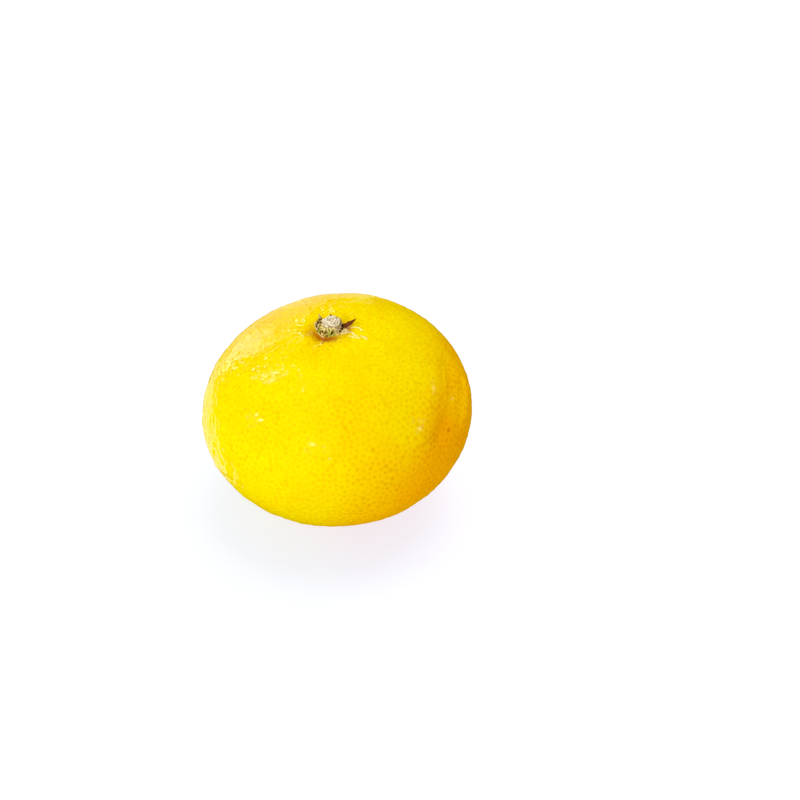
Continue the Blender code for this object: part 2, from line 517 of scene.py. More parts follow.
@dataclass(frozen=True)
class WaxyRind:
    """Fresh mandarin rind: oil-rich skin under a thin natural wax, both grown."""

    yellow: str = "#FBE800"
    orange: str = "#FBA800"
    gland_tint: str = "#F2D9B4"
    cork: str = "#94560E"
    # Brown of the stains by the calyx, also laid as painted shade round and under it.
    stain_and_shade: str = "#B85C06"
    # Patches of colour are some 7 mm wide on the fruit, and corky specks 0.75 mm.
    mottle_mm: float = 7.0
    speck_mm: float = 0.75
    # The sheen and the pores follow the oil glands, which stand about 1.5 mm apart.
    sheen_mm: float = 1.1
    pore_mm: float = 0.9
    pore_depth: float = 0.050 * MM
    # Skin cells are 0.05 mm wide, too fine for the render, so their grain is drawn coarser.
    grain_mm: float = 0.30
    grain_depth: float = 0.01 * MM
    grain_strength: float = 0.20
    roughness: tuple[float, float] = (0.03, 0.07)
    ior: float = 1.45
    inner_light: float = 0.15
    inner_ways: tuple[float, float, float] = (1.0, 0.45, 0.06)
    inner_depth: float = 1.2 * MM

    def make(self) -> bpy.types.Material:
        """Builds the material.

        Returns:
            The material.
        """
        # The wax gives clear small lights and a soft veil, the glands show as small darker dots,
        # and light that enters the skin comes back warm, so shadows on it stay soft.
        return make_finish(
            "waxy_mandarin_rind",
            ground=self.yellow,
            stored=("ripeness_and_shade", "gland", "shade", "stain_and_shade", "cork", "relief"),
            patterns=(
                ("mottle", self.mottle_mm, 3.0),
                ("speck", self.speck_mm, 2.0),
                ("sheen", self.sheen_mm, 2.0),
                ("grain", self.grain_mm, 2.0),
                ("pores", self.pore_mm, 1.0),
            ),
            ramps=(
                ("mottled", "mottle", 0.40, 0.75, 0.0, 0.14),
                ("grained", "grain", 0.35, 0.70, 0.0, 0.12),
                ("round_dots", "gland", 0.36, 0.62, 0.0, 1.0),
                ("dot_depth", "ripeness_and_shade", 0.0, 0.6, 0.40, 0.80),
                ("specked", "speck", 0.56, 0.66, 0.0, 1.0),
                ("rough", "sheen", 0.35, 0.75, *self.roughness),
            ),
            products=(
                ("shaded_dots", "round_dots", "shade"),
                ("dots", "shaded_dots", "dot_depth"),
                ("specks", "specked", "cork"),
            ),
            coats=(
                # The orange coat carries ripening and painted warm shade.
                (self.orange, "ripeness_and_shade", Laid.OVER),
                (self.orange, "mottled", Laid.OVER),
                (self.orange, "grained", Laid.OVER),
                (self.gland_tint, "dots", Laid.TINT),
                # The stain coat carries real stains and painted shade by the calyx.
                (self.stain_and_shade, "stain_and_shade", Laid.OVER),
                (self.cork, "specks", Laid.OVER),
            ),
            reliefs=(
                ("pores", "relief", self.pore_depth),
                ("grain", self.grain_strength, self.grain_depth),
            ),
            settings={
                "Roughness": "rough",
                "IOR": self.ior,
                "Subsurface Weight": self.inner_light,
                "Subsurface Radius": self.inner_ways,
                "Subsurface Scale": self.inner_depth,
            },
        )


@dataclass(frozen=True)
class Patch:
    """A soft round patch of the rind, in a unit direction, where a value is raised or lowered."""

    way: tuple[float, float, float]
    spread: float
    change: float

    def at(self, directions: np.ndarray) -> np.ndarray:
        """Its change of the value in each direction."""
        aside = np.linalg.norm(directions - np.array(self.way), axis=1)
        return self.change * bell(aside, self.spread)


@dataclass(frozen=True)
class Fold:
    """A soft fold of the rind between two unit directions. A depth below zero is a ridge."""

    start: tuple[float, float, float]
    end: tuple[float, float, float]
    width: float
    depth: float

    def at(self, directions: np.ndarray) -> np.ndarray:
        """How deep the fold is in each direction.

        Args:
            directions: Rows of unit vectors.

        Returns:
            One depth a row.
        """
        start = np.array(self.start)
        course = np.array(self.end) - start
        along = np.clip((directions - start) @ course / (course @ course), 0.0, 1.0)
        nearest = start + along[:, None] * course
        nearest /= np.linalg.norm(nearest, axis=1)[:, None]
        aside = np.linalg.norm(directions - nearest, axis=1)
        return self.depth * bell(aside, self.width)


@dataclass(frozen=True)
class StainAndShade:
    """A brown stain by the calyx, partly real and partly painted shade, its bearing in degrees and
    its half-width in radians.
    """

    bearing: float
    half_width: float
    distance: float
    breadth: float
    strength: float

    def at(self, radius: np.ndarray, bearing: np.ndarray) -> np.ndarray:
        """How strong it is at each distance from the axis and bearing."""
        beside = bell(off_bearing(bearing, self.bearing), self.half_width)
        return self.strength * beside * bell(radius - self.distance, self.breadth)


@dataclass
class Rind:
    """The whole outside of the fruit, with its glands, furrows, folds and marks, and painted shade
    in its colour.
    """

    form: FruitForm
    glands: OilGlands
    finish: WaxyRind = field(default_factory=WaxyRind)
    grid_steps: int = 99
    gland_radius: float = 0.46 * MM
    gland_depth: float = 0.078 * MM
    least_pit: float = 0.45
    dot_radius: float = 0.94 * MM
    dot_change: float = 0.22
    covered_radius: float = 3.0 * MM
    bare_rise: float = 1.5 * MM
    swell_length: float = 11.0 * MM
    swell_height: float = 0.050 * MM
    ripple_mm: tuple[tuple[float, float], ...] = ((4.6, 0.022), (2.2, 0.021), (1.5, 0.015))
    wrinkle_height: float = 0.030 * MM
    wrinkle_spokes: float = 3.0
    wrinkle_gap: float = 0.42
    wrinkle_length: float = 9.0 * MM
    wrinkle_rise: float = 2.0 * MM
    wrinkle_end: float = 15.0 * MM
    wrinkle_fall: float = 8.0 * MM
    # How fast yellow turns to orange with 1, x, z, x squared, x times z and z squared. The orange
    # that grows towards the right and lower side is partly ripening and partly painted warm shade.
    ripening_and_shade: tuple[float, ...] = (-1.22, 3.62, -2.81, 0.97, -4.41, 0.99)
    ripe_patch: float = 14.0 * MM
    ripe_change: float = 0.25
    # The back patch is painted shade: the rind turns a warmer orange where its upper back is in
    # shade.
    back: tuple[float, float, float] = (-0.32, 0.74, 0.59)
    back_painted_shade: float = 0.24
    back_edge: float = 0.70
    back_rise: float = 0.25
    shade_patch: float = 12.0 * MM
    shade_change: float = 0.15
    # These patches turn the rind more or less orange: partly real blush, partly painted shade, such
    # as the darker orange band down the right side.
    blush_and_shade: tuple[Patch, ...] = (
        Patch((0.17, -0.84, 0.52), 0.25, 0.20),
        Patch((0.43, -0.78, 0.45), 0.18, -0.13),
        Patch((0.75, -0.60, 0.24), 0.13, 0.22),
        Patch((0.67, -0.02, 0.74), 0.18, -0.15),
        Patch((0.91, 0.17, 0.38), 0.15, 0.22),
        Patch((0.94, -0.25, 0.22), 0.14, -0.20),
        Patch((-0.39, 0.04, 0.92), 0.20, 0.12),
        Patch((-0.72, 0.10, 0.68), 0.30, 0.20),
        Patch((-0.15, -0.36, 0.92), 0.15, 0.15),
        Patch((0.88, -0.40, 0.26), 0.10, -0.10),
    )
    roughening: tuple[Patch, ...] = (
        Patch((-0.166, -0.912, 0.374), 0.13, -0.20),
        Patch((-0.559, -0.692, 0.456), 0.08, -0.85),
        Patch((0.769, -0.445, 0.458), 0.08, -0.50),
        Patch((0.630, -0.711, 0.313), 0.05, -0.40),
        Patch((-0.95, -0.30, -0.10), 0.50, 1.00),
    )
    folds: tuple[Fold, ...] = (
        Fold((0.912, -0.115, 0.440), (0.745, -0.645, 0.165), 0.075, 0.75 * MM),
        Fold((0.790, -0.293, 0.512), (0.640, -0.745, 0.285), 0.090, -0.25 * MM),
    )
    # A brown ring round the calyx and brown patches beside it: partly real stain, partly painted
    # shade where the calyx meets the rind.
    ring_stain_and_shade: float = 0.40
    ring_radius: float = 4.9 * MM
    ring_sharpness: int = 4
    stains_and_shade: tuple[StainAndShade, ...] = (
        StainAndShade(236, 0.80, 3.8 * MM, 1.3 * MM, 0.60),
        StainAndShade(265, 0.50, 3.9 * MM, 0.9 * MM, 0.50),
        StainAndShade(352, 0.35, 4.2 * MM, 1.1 * MM, 0.75),
        StainAndShade(190, 0.50, 4.8 * MM, 1.5 * MM, 0.28),
    )
    darkest_stain_and_shade: float = 0.95
    least_cork: float = 0.15
    cork_rise: tuple[float, float] = (3.2 * MM, 1.2 * MM)
    cork_fall: tuple[float, float] = (8.4 * MM, 3.0 * MM)
    corky_sides: tuple[tuple[float, float, float], ...] = ((262, 0.75, 1.0), (48, 0.55, 0.8))
    nick: tuple[float, float, float] = (0.820, -0.551, 0.157)
    nick_radius: float = 0.34 * MM

    def sphere(self) -> bpy.types.Mesh:
        """Lays an even grid of triangles over a unit sphere.

        Returns:
            The mesh.
        """
        grid = bmesh.new()
        bmesh.ops.create_icosphere(grid, subdivisions=1, radius=1.0)
        bmesh.ops.subdivide_edges(
            grid, edges=grid.edges[:], cuts=self.grid_steps - 1, use_grid_fill=True
        )
        mesh = bpy.data.meshes.new("rind_skin")
        grid.to_mesh(mesh)
        grid.free()
        return mesh

    def snap_to_glands(self, directions: np.ndarray) -> None:
        """Moves the grid point nearest to each gland onto it, so that every pit is whole.

        Args:
            directions: Unit vectors to the grid points, which it changes.
        """
        tree = OilGlands.tree_of(directions)
        for place in [*self.glands.directions, self.nick]:
            directions[tree.find(place)[1]] = place

    def marks(
        self, radius: np.ndarray, bearing: np.ndarray, above: np.ndarray
    ) -> dict[str, np.ndarray]:
        """Strengths of the marks round the stem at each point.

        Args:
            radius: Distances from the axis.
            bearing: Bearings round it, in radians.
            above: True on the stem's half of the fruit.

        Returns:
            Values for the cork specks, and for the brown stain with painted shade round the calyx.
        """
        (start, rise), (end, fall) = self.cork_rise, self.cork_fall
        cork = smooth((radius - start) / rise) * smooth((end - radius) / fall)
        corky = np.maximum(
            *(top * bell(off_bearing(bearing, side), wide) for side, wide, top in self.corky_sides)
        )
        cork *= self.least_cork + (1.0 - self.least_cork) * corky
        # The ring and the patches darken the rind close round the calyx: partly stain, partly
        # painted shade.
        stain_and_shade = self.ring_stain_and_shade * np.exp(-((radius / self.ring_radius) ** self.ring_sharpness))
        for mark in self.stains_and_shade:
            stain_and_shade += mark.at(radius, bearing)
        return {
            "cork": np.where(above, cork, 0.0),
            "stain_and_shade": np.where(above, np.clip(stain_and_shade, 0.0, self.darkest_stain_and_shade), 0.0),
        }

    def ripeness_and_shade(self, directions: np.ndarray, points: np.ndarray) -> np.ndarray:
        """How far the rind has turned from yellow to orange, with painted warm shade mixed in.

        Args:
            directions: Rows of unit vectors.
            points: Points of the smooth fruit in those directions.

        Returns:
            A value from 0 to 1 for each row.
        """
        x, z = directions[:, 0], directions[:, 2]
        steep = np.stack([np.ones_like(x), x, z, x * x, x * z, z * z], -1) @ self.ripening_and_shade
        steep += self.ripe_change * random_waves(points, self.ripe_patch, count=30, seed=40)
        ripeness_and_shade = 1.0 / (1.0 + np.exp(-steep))
        behind = smooth((directions @ np.array(self.back) - self.back_edge) / self.back_rise)
        ripeness_and_shade = np.maximum(ripeness_and_shade, self.back_painted_shade * behind)
        for patch in self.blush_and_shade:
            ripeness_and_shade += patch.at(directions)
        return np.clip(ripeness_and_shade, 0.0, 1.0)

    def build(self) -> bpy.types.Object:
        """Models the rind and dresses it.

        Returns:
            The piece that stands for the fruit solid.
        """
        mesh = self.sphere()
        flat = np.empty(len(mesh.vertices) * 3, dtype=np.float32)
        mesh.vertices.foreach_get("co", flat)
        directions = flat.reshape(-1, 3).astype(float)
        directions /= np.linalg.norm(directions, axis=1)[:, None]
        self.snap_to_glands(directions)
        radius = self.form.radius(directions)
        smooth_points = directions * radius[:, None]
        near, size, shade = self.glands.nearest(directions)
        away = near * radius
        from_axis = np.hypot(smooth_points[:, 0], smooth_points[:, 1])
        bearing = np.arctan2(directions[:, 1], directions[:, 0])
        above = directions[:, 2] > 0.0
        pit = bell(away, self.gland_radius) * (self.least_pit + (1.0 - self.least_pit) * size)
        bare = smooth((from_axis - self.covered_radius) / self.bare_rise)
        relief = np.ones_like(radius)
        for patch in self.roughening:
            relief += patch.at(directions)
        radius = radius - self.gland_depth * pit * relief * np.where(above, bare, 1.0)
        for fold in self.folds:
            radius -= fold.at(directions)
        radius += self.swell_height * random_waves(
            smooth_points, self.swell_length, count=36, seed=20
        )
        for seed, (length, height) in enumerate(self.ripple_mm, start=21):
            waves = random_waves(smooth_points, length * MM, count=36, seed=seed)
            radius += height * MM * relief * waves
        outward = from_axis / self.wrinkle_length
        turn = self.wrinkle_spokes
        spokes = np.stack([turn * np.cos(bearing), turn * np.sin(bearing), outward], -1)
        ring = smooth((from_axis - self.covered_radius) / self.wrinkle_rise)
        ring *= smooth((self.wrinkle_end - from_axis) / self.wrinkle_fall)
        wrinkles = random_waves(spokes, self.wrinkle_gap, count=40, seed=31)
        radius += self.wrinkle_height * (wrinkles * np.where(above, ring, 0.0))
        floor = self.form.centre()[2]
        points = self.form.flatten_base(directions * radius[:, None], floor)
        points = self.form.settle(points)
        mesh.vertices.foreach_set("co", points.astype(np.float32).ravel())
        cone = 1.0 - away / self.dot_radius + self.dot_change * (size - 0.5)
        patchy = random_waves(smooth_points, self.shade_patch, count=30, seed=41)
        values = {
            "ripeness_and_shade": self.ripeness_and_shade(directions, smooth_points),
            "gland": np.clip(cone, 0.0, 1.0),
            "shade": shade * (1.0 + self.shade_change * patchy),
            "relief": relief,
        }
        values |= self.marks(from_axis, bearing, above)
        aside = np.linalg.norm(directions - np.array(self.nick), axis=1) * radius
        values["stain_and_shade"] = np.maximum(values["stain_and_shade"], bell(aside, self.nick_radius))
        set_values(mesh, values)
        mesh.update()
        return new_piece(mesh, self.finish.make(), "fruit")


@dataclass(frozen=True)
class Lobe:
    """One lobe of the calyx. Its bearing and half-width are in degrees."""

    bearing: float
    half_width: float
    reach: float
    curl: float
    browned: float


@dataclass(frozen=True)
class DriedCalyx:
    """Dried calyx leaf: a corky skin that shrank into wrinkles and lost its gloss."""

    bark: str = "#F4E090"
    fibre: str = "#FCEB98"
    olive: str = "#8C7018"
    brown: str = "#7C3C08"
    dark: str = "#3A1E08"
    green: str = "#A6B81E"
    # Real wrinkles are 0.1 to 0.2 mm apart, too fine for the render, so they are drawn coarser.
    wrinkle_mm: float = 0.45
    wrinkle_depth: float = 0.05 * MM
    wrinkle_strength: float = 0.5
    roughness: float = 0.6
    shine: float = 0.12

    def make(self) -> bpy.types.Material:
        """Builds the material.

        Returns:
            The material.
        """
        # Pale matt ridges over dark creases, browned tips and a little green that is left.
        return make_finish(
            "dried_calyx_leaf",
            ground=self.olive,
            stored=("ridge", "green", "brown", "fibre"),
            patterns=(("wrinkle", self.wrinkle_mm, 4.0),),
            ramps=(
                ("ridge_top", "ridge", 0.28, 0.66, 0.0, 1.0),
                ("crease", "ridge", 0.24, 0.02, 0.0, 0.70),
                ("fleck", "wrinkle", 0.56, 0.36, 0.0, 0.24),
            ),
            coats=(
                (self.bark, "ridge_top", Laid.OVER),
                (self.green, "green", Laid.OVER),
                (self.brown, "brown", Laid.OVER),
                (self.dark, "crease", Laid.OVER),
                (self.brown, "fleck", Laid.OVER),
                (self.fibre, "fibre", Laid.OVER),
            ),
            reliefs=(("wrinkle", self.wrinkle_strength, self.wrinkle_depth),),
            settings={"Roughness": self.roughness, "Specular IOR Level": self.shine},
        )


@dataclass(frozen=True)
class Strand:
    """A thin dried fibre on the rind: millimetres from the axis and bearings in degrees."""

    distances: tuple[float, ...]
    bearings: tuple[float, ...]
    thickness_mm: float = 0.26


@dataclass
class Calyx:
    """The dried star under the stem: a low disc with lobes, and fibres that leave it."""

    form: FruitForm
    finish: DriedCalyx = field(default_factory=DriedCalyx)
    disc_radius: float = 2.95 * MM
    shoulder_radius: float = 2.08 * MM
    disc_height: float = 2.15 * MM
    lobe_thickness: float = 0.34 * MM
    rim_thinning: float = 0.75
    sunk: float = 0.12 * MM
    edge_raggedness: float = 0.12 * MM
    edge_wave: float = 0.35
    lobe_falloff: float = 1.4
    thin_edge: tuple[float, float] = (0.9, 0.1)
    smooth_rim: tuple[float, float] = (1.02, 0.12)
    web_gap: float = 1.25 * MM
    fine_gap: float = 0.50 * MM
    fine_share: float = 0.24
    ridge_height: float = 0.14 * MM
    side_swelling: float = 0.16 * MM
    mean_ridge: float = 0.4
    rib_start: float = 3.0 * MM
    rib_rise: float = 0.8 * MM
    rib_turns: float = 4.6
    rib_stretch: float = 0.9
    rib_gap: float = 1.0
    base_paleness: float = 0.31
    ridge_paleness: float = 0.48
    rib_paleness: float = 0.36
    scorch_darkness: float = 0.60
    scorch_radius: float = 3.1 * MM
    scorch_breadth: float = 0.8 * MM
    brown_spread: float = 0.45
    brown_start: float = 0.15
    brown_rise: float = 3.0
    greenness: float = 0.85
    around: int = 320
    rings: int = 64
    strand_steps: int = 48
    strand_sides: int = 8
    strand_spread: float = 1.4
    strand_flatness: float = 0.8
    strand_tip: float = 0.25
    strand_taper: float = 0.6
    strand_lift: float = 0.03 * MM
    strand_rise: float = 0.05
    strand_length: float = 3.0
    bend_waver: float = 0.8
    bend_wave: float = 0.9
    girth_waver: float = 0.30
    girth_wave: float = 0.40
    lobes: tuple[Lobe, ...] = (
        Lobe(10, 8, 5.6 * MM, 0.25 * MM, 0.9),
        Lobe(38, 21, 3.6 * MM, 1.0 * MM, 1.0),
        Lobe(86, 14, 3.7 * MM, 1.65 * MM, 0.5),
        Lobe(129, 21, 3.5 * MM, 1.7 * MM, 0.2),
        Lobe(163, 19, 3.8 * MM, 0.9 * MM, 0.0),
        Lobe(338, 13, 5.2 * MM, 0.25 * MM, 0.0),
    )
    green_spots: tuple[tuple[float, float, float], ...] = (
        (204, 2.8 * MM, 0.5 * MM),
        (268, 2.9 * MM, 0.5 * MM),
        (290, 3.0 * MM, 0.45 * MM),
    )
    strands: tuple[Strand, ...] = (
        Strand((4.2, 5.0, 5.9, 6.5, 7.4, 7.9), (-25, -21, -26, -28, -30.5, -29), 0.29),
        Strand((7.5, 8.2, 8.8, 9.4), (-24, -25.5, -26.5, -27.5), 0.31),
        Strand((4.6, 5.6, 6.4, 7.1, 7.7), (-4, -1, -4, -8, -12.5), 0.24),
        Strand((2.9, 3.1, 3.3, 3.4), (-163, -142, -124, -113), 0.24),
        Strand((5.3, 6.2, 6.9), (-33, -33, -36), 0.22),
    )

    def build(self) -> bpy.types.Object:
        """Models the calyx and dresses it.

        Returns:
            The piece that stands for the calyx solid.
        """
        mesh = self.star()
        self.add_strands(mesh)
        return new_piece(mesh, self.finish.make(), "calyx")

    def star(self) -> bpy.types.Mesh:
        """Models the disc with its lobes.

        Returns:
            The mesh, in place, with the values that its finish reads.
        """
        bearing = np.arange(self.around) * (2.0 * math.pi / self.around)
        shares = []
        for lobe in self.lobes:
            aside = np.degrees(np.abs(off_bearing(bearing, lobe.bearing)))
            shares.append(np.exp(-((aside / lobe.half_width) ** self.lobe_falloff)))
        circle = np.stack([np.cos(bearing), np.sin(bearing), np.zeros(self.around)], axis=-1)
        edge = self.disc_radius + sum(
            share * (lobe.reach - self.disc_radius) for share, lobe in zip(shares, self.lobes)
        )
        edge += self.edge_raggedness * random_waves(circle, self.edge_wave, count=24, seed=3)
        parts = np.linspace(0.0, 1.0, self.rings + 1)[1:]
        radius = parts[:, None] * edge[None, :]
        bearings = np.broadcast_to(bearing, radius.shape)
        lift = np.zeros_like(radius)
        brown = np.zeros_like(radius)
        for share, lobe in zip(shares, self.lobes):
            way_out = np.clip(radius - self.shoulder_radius, 0.0, None)
            way_out = way_out / (lobe.reach - self.shoulder_radius)
            lift += share[None, :] * lobe.curl * way_out**2
            browning = smooth(way_out * self.brown_rise + self.brown_start)
            brown += share[None, :] ** self.brown_spread * lobe.browned * browning
        slope = smooth((radius - self.shoulder_radius) / (self.disc_radius - self.shoulder_radius))
        thickness = self.disc_height + (self.lobe_thickness - self.disc_height) * slope
        start, span = self.thin_edge
        thickness *= 1.0 - self.rim_thinning * smooth((parts[:, None] - start) / span)
        outward = smooth((radius - self.rib_start) / self.rib_rise)
        ridge = self.ridges(radius, bearings, lift + thickness, outward)
        end, span = self.smooth_rim
        rim = smooth((end - parts[:, None]) / span)
        steep = 4.0 * slope * (1.0 - slope)
        under = self.form.over_rind(radius.ravel(), bearings.ravel(), (lift - self.sunk).ravel())
        top_lift = lift - self.sunk + thickness + self.ridge_height * ridge * rim
        swollen = radius + self.side_swelling * (ridge - self.mean_ridge) * rim * steep
        upper = self.form.over_rind(swollen.ravel(), bearings.ravel(), top_lift.ravel())
        shape = (self.rings, self.around, 3)
        mesh = polar_mesh(
            "calyx_star",
            self.form.settle(upper).reshape(shape),
            self.form.settle(under).reshape(shape),
        )
        scorch = brown * bell(radius - self.scorch_radius, self.scorch_breadth)
        paleness = self.base_paleness + self.ridge_paleness * ridge
        paleness = paleness + self.rib_paleness * outward - self.scorch_darkness * scorch
        values = {
            "ridge": np.clip(paleness, 0.0, 1.0),
            "brown": np.clip(brown, 0.0, 1.0),
            "green": self.greenness * self.greens(radius, bearings),
            "fibre": np.zeros_like(radius),
        }
        store_faces(mesh, values)
        return mesh

    def ridges(
        self, radius: np.ndarray, bearings: np.ndarray, height: np.ndarray, outward: np.ndarray
    ) -> np.ndarray:
        """Relief of the upper face: a web of ridges on the disc and ribs along the lobes.

        Args:
            radius: Distances from the axis, ring by place.
            bearings: Bearings in radians, laid out the same way.
            height: Heights over the under face.
            outward: Share of the ribs, from 0 on the disc to 1 on the lobes.

        Returns:
            The relief, with its ridges at about one.
        """
        flat = np.stack([radius * np.cos(bearings), radius * np.sin(bearings), height], -1)
        flat = flat.reshape(-1, 3)
        turns, stretch = self.rib_turns, self.rib_stretch
        stretched = np.stack(
            [turns * np.cos(bearings), turns * np.sin(bearings), stretch * radius / MM], -1
        ).reshape(-1, 3)
        web = 1.0 - np.abs(random_waves(flat, self.web_gap, count=60, seed=13))
        ribs = 1.0 - np.abs(random_waves(stretched, self.rib_gap, count=40, seed=17))
        fine = random_waves(flat, self.fine_gap, count=60, seed=14)
        ridge = web + (ribs - web) * outward.ravel() + self.fine_share * fine
        return ridge.reshape(radius.shape)

    def greens(self, radius: np.ndarray, bearings: np.ndarray) -> np.ndarray:
        """How green the leaf still is at each point.

        Args:
            radius: Distances from the axis.
            bearings: Bearings in radians.

        Returns:
            Values from 0 to 1.
        """
        green = np.zeros_like(radius)
        for degrees, out, spread in self.green_spots:
            middle = math.radians(degrees)
            away = np.hypot(
                radius * np.cos(bearings) - out * math.cos(middle),
                radius * np.sin(bearings) - out * math.sin(middle),
            )
            green = np.maximum(green, bell(away, spread))
        return green

    def add_strands(self, mesh: bpy.types.Mesh) -> None:
        """Lays thin round fibres on the rind, from the calyx outward.

        Args:
            mesh: The calyx mesh, which takes them.
        """
        whole = bmesh.new()
        whole.from_mesh(mesh)
        fibre = whole.verts.layers.float["fibre"]
        turns = np.arange(self.strand_sides) * (2.0 * math.pi / self.strand_sides)
        along = np.linspace(0.0, 1.0, self.strand_steps)
        course = np.stack([along * self.strand_length, 0.0 * along, 0.0 * along], -1)
        for index, strand in enumerate(self.strands):
            stops = np.linspace(0.0, 1.0, len(strand.distances))
            bend = np.interp(along, stops, strand.bearings)
            waver = random_waves(course, self.bend_wave, count=12, seed=70 + index)
            bend += self.bend_waver * waver
            radius = np.interp(along, stops, strand.distances) * MM
            taper = np.sin(math.pi * along) ** self.strand_taper
            taper = self.strand_tip + (1.0 - self.strand_tip) * taper
            girth = strand.thickness_mm / 2 * MM * taper
            waver = random_waves(course, self.girth_wave, count=12, seed=90 + index)
            girth *= 1.0 + self.girth_waver * waver
            lift = self.strand_rise * girth + self.strand_lift
            middle = self.form.over_rind(radius, np.radians(bend), lift)
            ahead = np.gradient(middle, axis=0)
            ahead /= np.linalg.norm(ahead, axis=1)[:, None]
            up = middle / np.linalg.norm(middle, axis=1)[:, None]
            side = np.cross(ahead, up)
            around = (
                side[:, None, :] * np.cos(turns)[None, :, None] * self.strand_spread
                + up[:, None, :] * np.sin(turns)[None, :, None] * self.strand_flatness
            )
            tube = middle[:, None, :] + around * girth[:, None, None]
            rings = [
                [whole.verts.new(point) for point in self.form.settle(ring)] for ring in tube
            ]
            for vert in (vert for ring in rings for vert in ring):
                vert[fibre] = 1.0
            for near, far in zip(rings, rings[1:]):
                for i, j in zip(range(self.strand_sides), [*range(1, self.strand_sides), 0]):
                    whole.faces.new((near[i], near[j], far[j], far[i]))
            whole.faces.new(rings[0][::-1])
            whole.faces.new(rings[-1])
        whole.to_mesh(mesh)
        whole.free()


@dataclass(frozen=True)
class CutWood:
    """Cut stem: dry pale wood, torn across its fibres, rough and cracked."""

    fibre: str = "#F2E8CA"
    tan: str = "#C4B084"
    crack: str = "#8A6A3C"
    # Real fibres are 0.02 to 0.05 mm thick, too fine for the render, so they are drawn coarser.
    fibre_mm: float = 0.3
    fibre_depth: float = 0.05 * MM
    fibre_strength: float = 0.6
    roughness: float = 0.8

    def make(self) -> bpy.types.Material:
        """Builds the material.

        Returns:
            The material.
        """
        # Pale raised fibres with brown cracks between them, and no gloss.
        return make_finish(
            "cut_stem_wood",
            ground=self.crack,
            stored=("raised",),
            patterns=(("fibres", self.fibre_mm, 4.0),),
            ramps=(
                ("out_of_cracks", "raised", 0.05, 0.26, 0.0, 1.0),
                ("ridge_top", "raised", 0.30, 0.66, 0.0, 1.0),
            ),
            coats=(
                (self.tan, "out_of_cracks", Laid.OVER),
                (self.fibre, "ridge_top", Laid.OVER),
            ),
            reliefs=(("fibres", self.fibre_strength, self.fibre_depth),),
            settings={"Roughness": self.roughness},
        )


